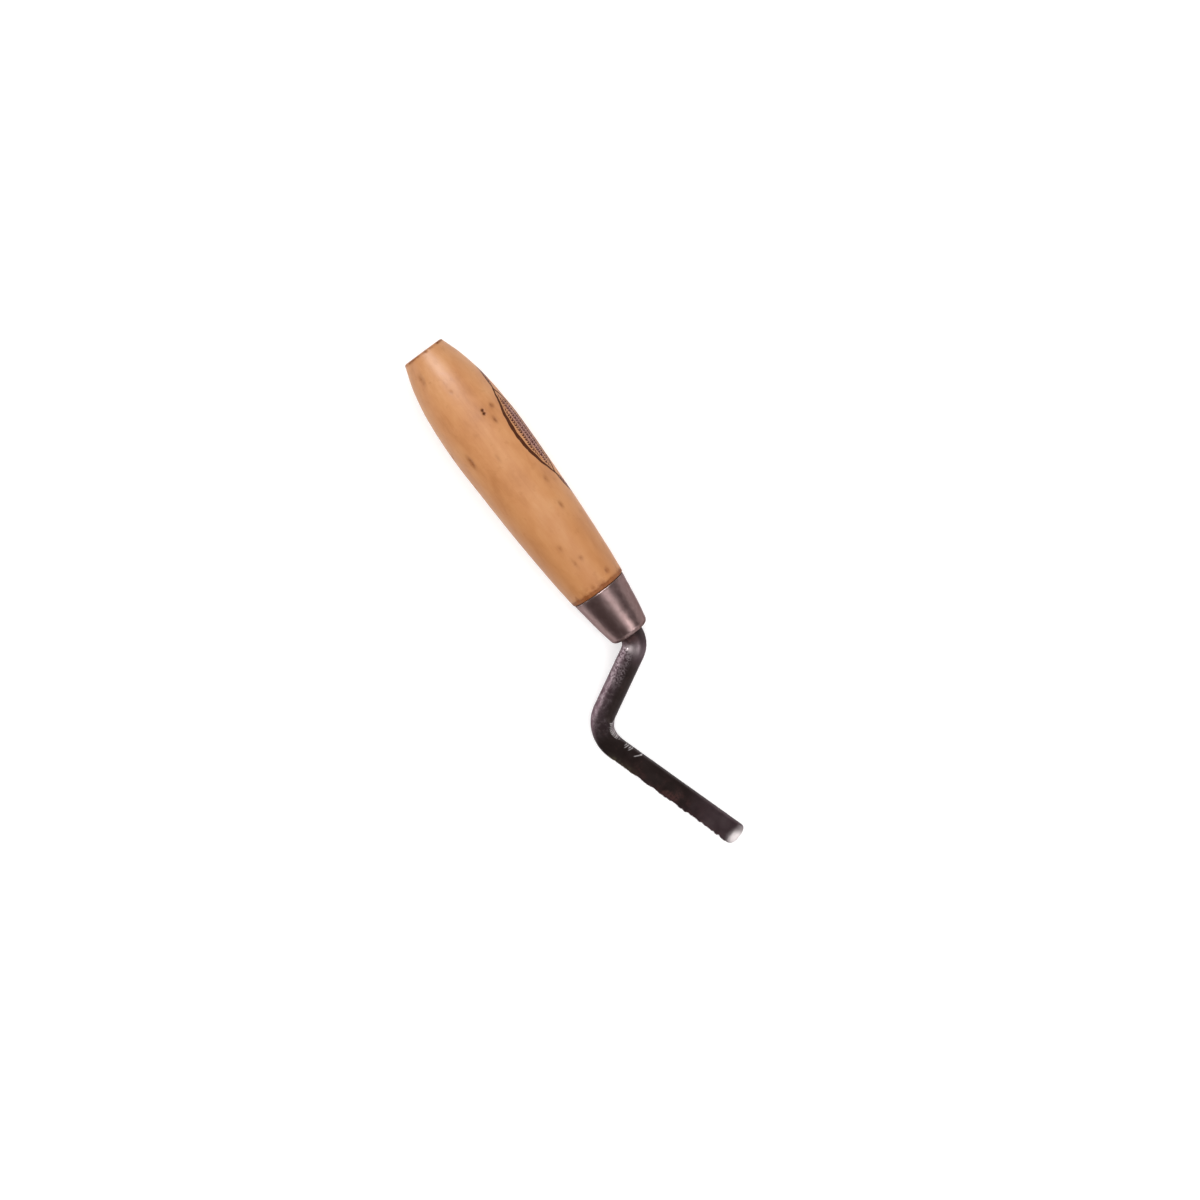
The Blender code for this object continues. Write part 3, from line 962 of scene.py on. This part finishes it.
class Steel:
    """The steel's points, where each lies and which way it faces.

    at is how far a point is past the shoulder, past how far past the elbow, from_nose how far before the
    nose, and offset how far towards the inside of the crook from the middle of its ring.
    """

    def __init__(self):
        self.points, travelled, elbow, nose = steel_rings()
        self.at = travelled[:, None] * np.ones((1, STEEL_SIDES))
        self.past = self.at - elbow
        self.from_nose = nose - self.at
        self.in_bend = smooth_step((self.past + 6.2) / 1.8) * (1 - smooth_step((self.past - 5.2) / 2.2))
        self.shown = (self.at > 0.5).astype(float)
        self.on_shank = self.shown * (1 - smooth_step((self.past + 4.0) / 8.0))
        self.on_blade = smooth_step((self.past - 6.0) / 6.0)
        middle = self.points.mean(axis=1, keepdims=True)
        lengthwise = np.gradient(middle[:, 0], axis=0)
        lengthwise /= np.maximum(np.linalg.norm(lengthwise, axis=-1, keepdims=True), 1e-9)
        inward = np.cross(SQUARE, lengthwise)[:, None, :]
        self.file_corner(middle, inward)
        self.normals = outward(self.points, False)
        self.facing_in = (self.normals * inward).sum(-1)
        self.facing_up = self.normals[..., 2]
        self.offset = ((self.points - middle) * inward).sum(-1)

    def file_corner(self, middle, inward):
        """The file took the corner off the inside of the lower bend."""
        reach = ((self.points - middle) * inward).sum(-1)
        from_side = reach.max(axis=1, keepdims=True) - reach
        height = self.points[..., 2]
        from_face = height.max(axis=1, keepdims=True) - height
        cut = np.clip(CHAMFER * self.in_bend - from_side - from_face, 0.0, None) / 2
        self.points = self.points - cut[..., None] * (inward + SQUARE)


def forging(steel, flats, skin):
    """(sunk, pitted): soft hammer flats, a rough skin of scale, and pits on the shank."""
    pits = np.clip(roughness_of(steel.points, 0.9, 2, 13) - 0.10, 0.0, 1.0)
    pitted = steel.on_shank * smooth_step((0.40 - steel.facing_in) / 0.6)
    pitted *= np.clip(0.55 + 1.3 * flats, 0.0, 1.0)
    pitted *= np.clip(smooth_step(1.6 - np.abs(steel.at - 18.0) / 7.5), 0.06, 1.0)
    sunk = 0.03 + 0.05 * np.abs(flats) + 0.018 * (skin + 1.0)
    return sunk + pits * steel.on_shank * (0.03 + 0.30 * pitted), pitted


def outer_edge(steel, near_outer):
    """(sunk, rust): the blade's outer edge was never dressed, and rusts where it was knocked."""
    edge = smooth_step((-steel.facing_in - 0.1) / 0.6) * steel.on_blade
    flattened = steel.points * (1.0, 1.0, 0.2)
    sunk = edge * 0.26 * np.clip(roughness_of(flattened, 3.2, 3, 14) + 0.25, 0.0, 1.0)
    sunk += edge * 0.16 * np.clip(roughness_of(flattened, 1.1, 2, 16), 0.0, 1.0)
    rust = np.zeros_like(steel.at)
    for place, half_length, depth in EDGE_KNOCKS:
        beyond = steel.past - place
        sunk += depth * edge * bump(beyond, half_length * np.where(beyond < 0.0, 0.50, 1.25))
        rust = np.maximum(rust, depth * 1.4 * bump(beyond, half_length * 1.3) * near_outer)
    return sunk, rust


def edge_scratches(steel):
    """(sunk, scratched): the scratches over the blade's inner edge, and how bright they are."""
    sunk = np.zeros_like(steel.at)
    scratched = np.zeros_like(steel.at)
    from_edge = 4.6 - steel.offset
    on_face = smooth_step((steel.facing_up + 0.15) / 0.3) * steel.on_blade
    for place, lean, reach, half_width in EDGE_SCRATCHES:
        scratch = bump(steel.past - place - lean * from_edge, half_width)
        scratch *= 1 - smooth_step((from_edge - reach + 0.8) / 0.8)
        sunk += 0.05 * scratch * on_face
        scratched = np.maximum(scratched, scratch * on_face)
    return sunk, scratched


def bright_marks(steel):
    """(bare, honed): the inside of the lower bend is filed bright, and so is the bevel."""
    ragged = 0.12 * roughness_of(steel.points, 1.1, 2, 15)
    bare = steel.in_bend * smooth_step((steel.facing_in + ragged - 0.50) / 0.22)
    honed = 5.2 - steel.from_nose - ragged - 0.15 * np.abs(steel.offset + 1.4)
    honed = smooth_step(honed / 4.8) * smooth_step((steel.facing_up - 0.25) / 0.3)
    honed *= 1.0 - 0.68 * smooth_step((np.abs(steel.offset + 1.0) - 0.8) / 3.2)
    return bare, honed


def wear_marks(steel, skin):
    """Scale rubbed off the shank and the blade's last third, with painted light on the shank's outer side
    and round the upper bend, worn spots, and a painted highlight on the upper bend.
    """
    at, offset = steel.at, steel.offset
    # less rubbed, so blacker, beside the ferrule
    beside_ferrule = bump(at - 4.6, 3.0) * steel.shown
    # partly rubbed scale, partly painted light: a smooth gradient lighter on the shank's outer side, and a
    # painted glow round the upper bend
    rubbed_and_lit = steel.on_shank * smooth_step((0.45 - steel.facing_in) / 1.40)
    rubbed_and_lit = np.maximum(rubbed_and_lit, 0.30 * smooth_step((steel.past - 38.0) / 16.0))
    rubbed_and_lit *= 1.0 - 0.45 * beside_ferrule
    rubbed_and_lit = np.maximum(rubbed_and_lit, 0.45 * bump(at - 10.5, 4.0) * steel.shown)
    # painted highlight: a bright soft spot on the face of the upper bend, with a fainter glow beside it
    painted_highlight = 0.85 * bump(at - 9.9, 1.3) * bump(offset + 1.2, 1.3)
    painted_highlight += 0.22 * bump(at - 10.2, 1.9) * bump(offset - 0.8, 2.2)
    painted_highlight *= steel.facing_up > 0
    outer_side = np.clip(0.35 - steel.facing_in * 0.9, 0.0, 1.0)
    worn = 0.30 * steel.on_shank * outer_side * smooth_step((skin + 0.1) / 0.5) * (1.0 - beside_ferrule)
    return {"rubbed_and_lit": rubbed_and_lit, "painted_highlight": painted_highlight, "worn": worn}


def rust_marks(steel, flats, rust):
    """Adds to the rust in the knocks what lies beside the ferrule and in blotches on the blade."""
    at_ferrule = bump(steel.at - 5.6, 3.0) * np.clip(0.7 - steel.facing_in * 0.9, 0.0, 1.0) * steel.shown
    blotched = bump(steel.past - 34.0, 14.0) * bump(steel.offset + 2.0, 3.2) * steel.on_blade
    blotched *= 0.75 * smooth_step((flats + 0.15) / 0.35)
    return np.maximum(np.maximum(rust, at_ferrule), blotched)


def make_blade():
    steel = Steel()
    flats = roughness_of(steel.points, 7.0, 2, 11)
    skin = roughness_of(steel.points, 1.7, 3, 12)
    near_outer = bump(np.clip(steel.offset + 4.6, 0.0, None), 1.6) * steel.on_blade
    sunk, pitted = forging(steel, flats, skin)
    knocked, rust = outer_edge(steel, near_outer)
    scored, scratched = edge_scratches(steel)
    bare, honed = bright_marks(steel)
    olive = near_outer * (1 - smooth_step((steel.past - 14.0) / 10.0)) * (steel.facing_up > 0)
    sunk = (sunk + knocked + scored) * steel.shown
    points = steel.points - steel.normals * sunk[..., None]
    marks = {"bare": bare, "honed": honed, "scratched": scratched, "travel": steel.at}
    marks |= {"pitted": pitted, "olive": olive, "rust": rust_marks(steel, flats, rust)}
    marks |= wear_marks(steel, skin)
    piece = make_piece("blade_forged", points, False, forged_steel(), marks)
    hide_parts("blade")
    return piece


# ---------------------------------------------------------------- floor, light and camera
VIEW_TILT = math.radians(17.5)  # from square to the crank's plane, towards the handle's top
VIEW_LEAN = math.radians(6.5)  # towards the butt
AXIS_SLOPE = math.radians(-53.46)  # of the handle's axis in the picture
DISTANCE = 1.0
AIM = Vector((113.64, -0.25, 5.80)) * MM


def view_axes():
    """The picture's right, up and towards-the-camera directions, in the tool's axes."""
    towards = Vector(
        (
            -math.sin(VIEW_LEAN),
            math.cos(VIEW_LEAN) * math.sin(VIEW_TILT),
            math.cos(VIEW_LEAN) * math.cos(VIEW_TILT),
        )
    )
    handle = Vector((1.0, 0.0, 0.0))
    handle = (handle - towards * handle.dot(towards)).normalized()
    beside = towards.cross(handle)
    right = handle * math.cos(AXIS_SLOPE) - beside * math.sin(AXIS_SLOPE)
    up = handle * math.sin(AXIS_SLOPE) + beside * math.cos(AXIS_SLOPE)
    return right, up, towards


def make_camera():
    right, up, towards = view_axes()
    lens = bpy.data.cameras.new("camera")
    lens.lens = 80.0
    lens.sensor_width = 36.0
    lens.clip_start = 0.01
    camera = bpy.data.objects.new("camera", lens)
    bpy.context.scene.collection.objects.link(camera)
    stand = Matrix((right, up, towards)).transposed().to_4x4()
    stand.translation = AIM + towards * DISTANCE
    camera.matrix_world = TOOL @ stand
    bpy.context.scene.camera = camera


def make_light(name, direction, distance, size, radiance):
    """An area light aimed at the tool. Its direction is (right, up, towards the camera).

    Its size is (across, outwards) in the same view, and its radiance doesn't depend on its size.
    """
    right, up, towards = view_axes()
    direction = (right * direction[0] + up * direction[1] + towards * direction[2]).normalized()
    lamp = bpy.data.lights.new(name, "AREA")
    lamp.shape = "RECTANGLE"
    lamp.size, lamp.size_y = size
    lamp.energy = radiance * math.pi * size[0] * size[1]
    light = bpy.data.objects.new(name, lamp)
    bpy.context.scene.collection.objects.link(light)
    across = towards.cross(direction).normalized()
    stand = Matrix((across, direction.cross(across), direction)).transposed().to_4x4()
    stand.translation = AIM + direction * distance
    light.matrix_world = TOOL @ stand
    return light


def make_floor():
    bpy.ops.mesh.primitive_plane_add(size=8.0)
    floor = bpy.context.object
    floor.name = "floor"
    paper = bpy.data.materials.new("white_paper")
    paper.use_nodes = True
    shader = paper.node_tree.nodes["Principled BSDF"]
    shader.inputs["Base Color"].default_value = (0.74, 0.74, 0.74, 1.0)
    shader.inputs["Emission Color"].default_value = (1.0, 1.0, 1.0, 1.0)
    shader.inputs["Emission Strength"].default_value = 0.34  # a sheet lit from below as well
    shader.inputs["Roughness"].default_value = 0.9
    shader.inputs["Specular IOR Level"].default_value = 0.1
    floor.data.materials.append(paper)


def make_world():
    world = bpy.data.worlds.new("room")
    world.use_nodes = True
    world.node_tree.nodes["Background"].inputs["Color"].default_value = (1.0, 0.72, 0.69, 1.0)
    world.node_tree.nodes["Background"].inputs["Strength"].default_value = 0.10
    bpy.context.scene.world = world


make_camera()
make_world()
make_floor()
# the key makes the long highlights, the fill lights everything evenly, and the cards make the reflections
key = make_light("key", (-0.16, 0.50, 0.85), 1.25, (0.60, 0.54), 30.0)
key.visible_diffuse = False
fill = make_light("fill", (-0.05, 0.06, 0.99), 1.6, (2.8, 2.8), 2.1)
fill.visible_glossy = False
make_light("near_card", (0.41, -0.29, 0.86), 1.0, (0.42, 0.34), 2.1)
make_light("nose_card", (0.70, -0.37, 0.61), 1.0, (0.27, 0.30), 10.3)
make_light("foot_card", (0.43, -0.86, 0.26), 1.0, (0.50, 0.16), 3.5)
make_light("left_card", (-0.985, 0.02, 0.12), 1.0, (0.50, 0.30), 5.6)
bpy.context.scene.view_settings.view_transform = "Standard"

make_handle()
make_ferrule()
make_blade()
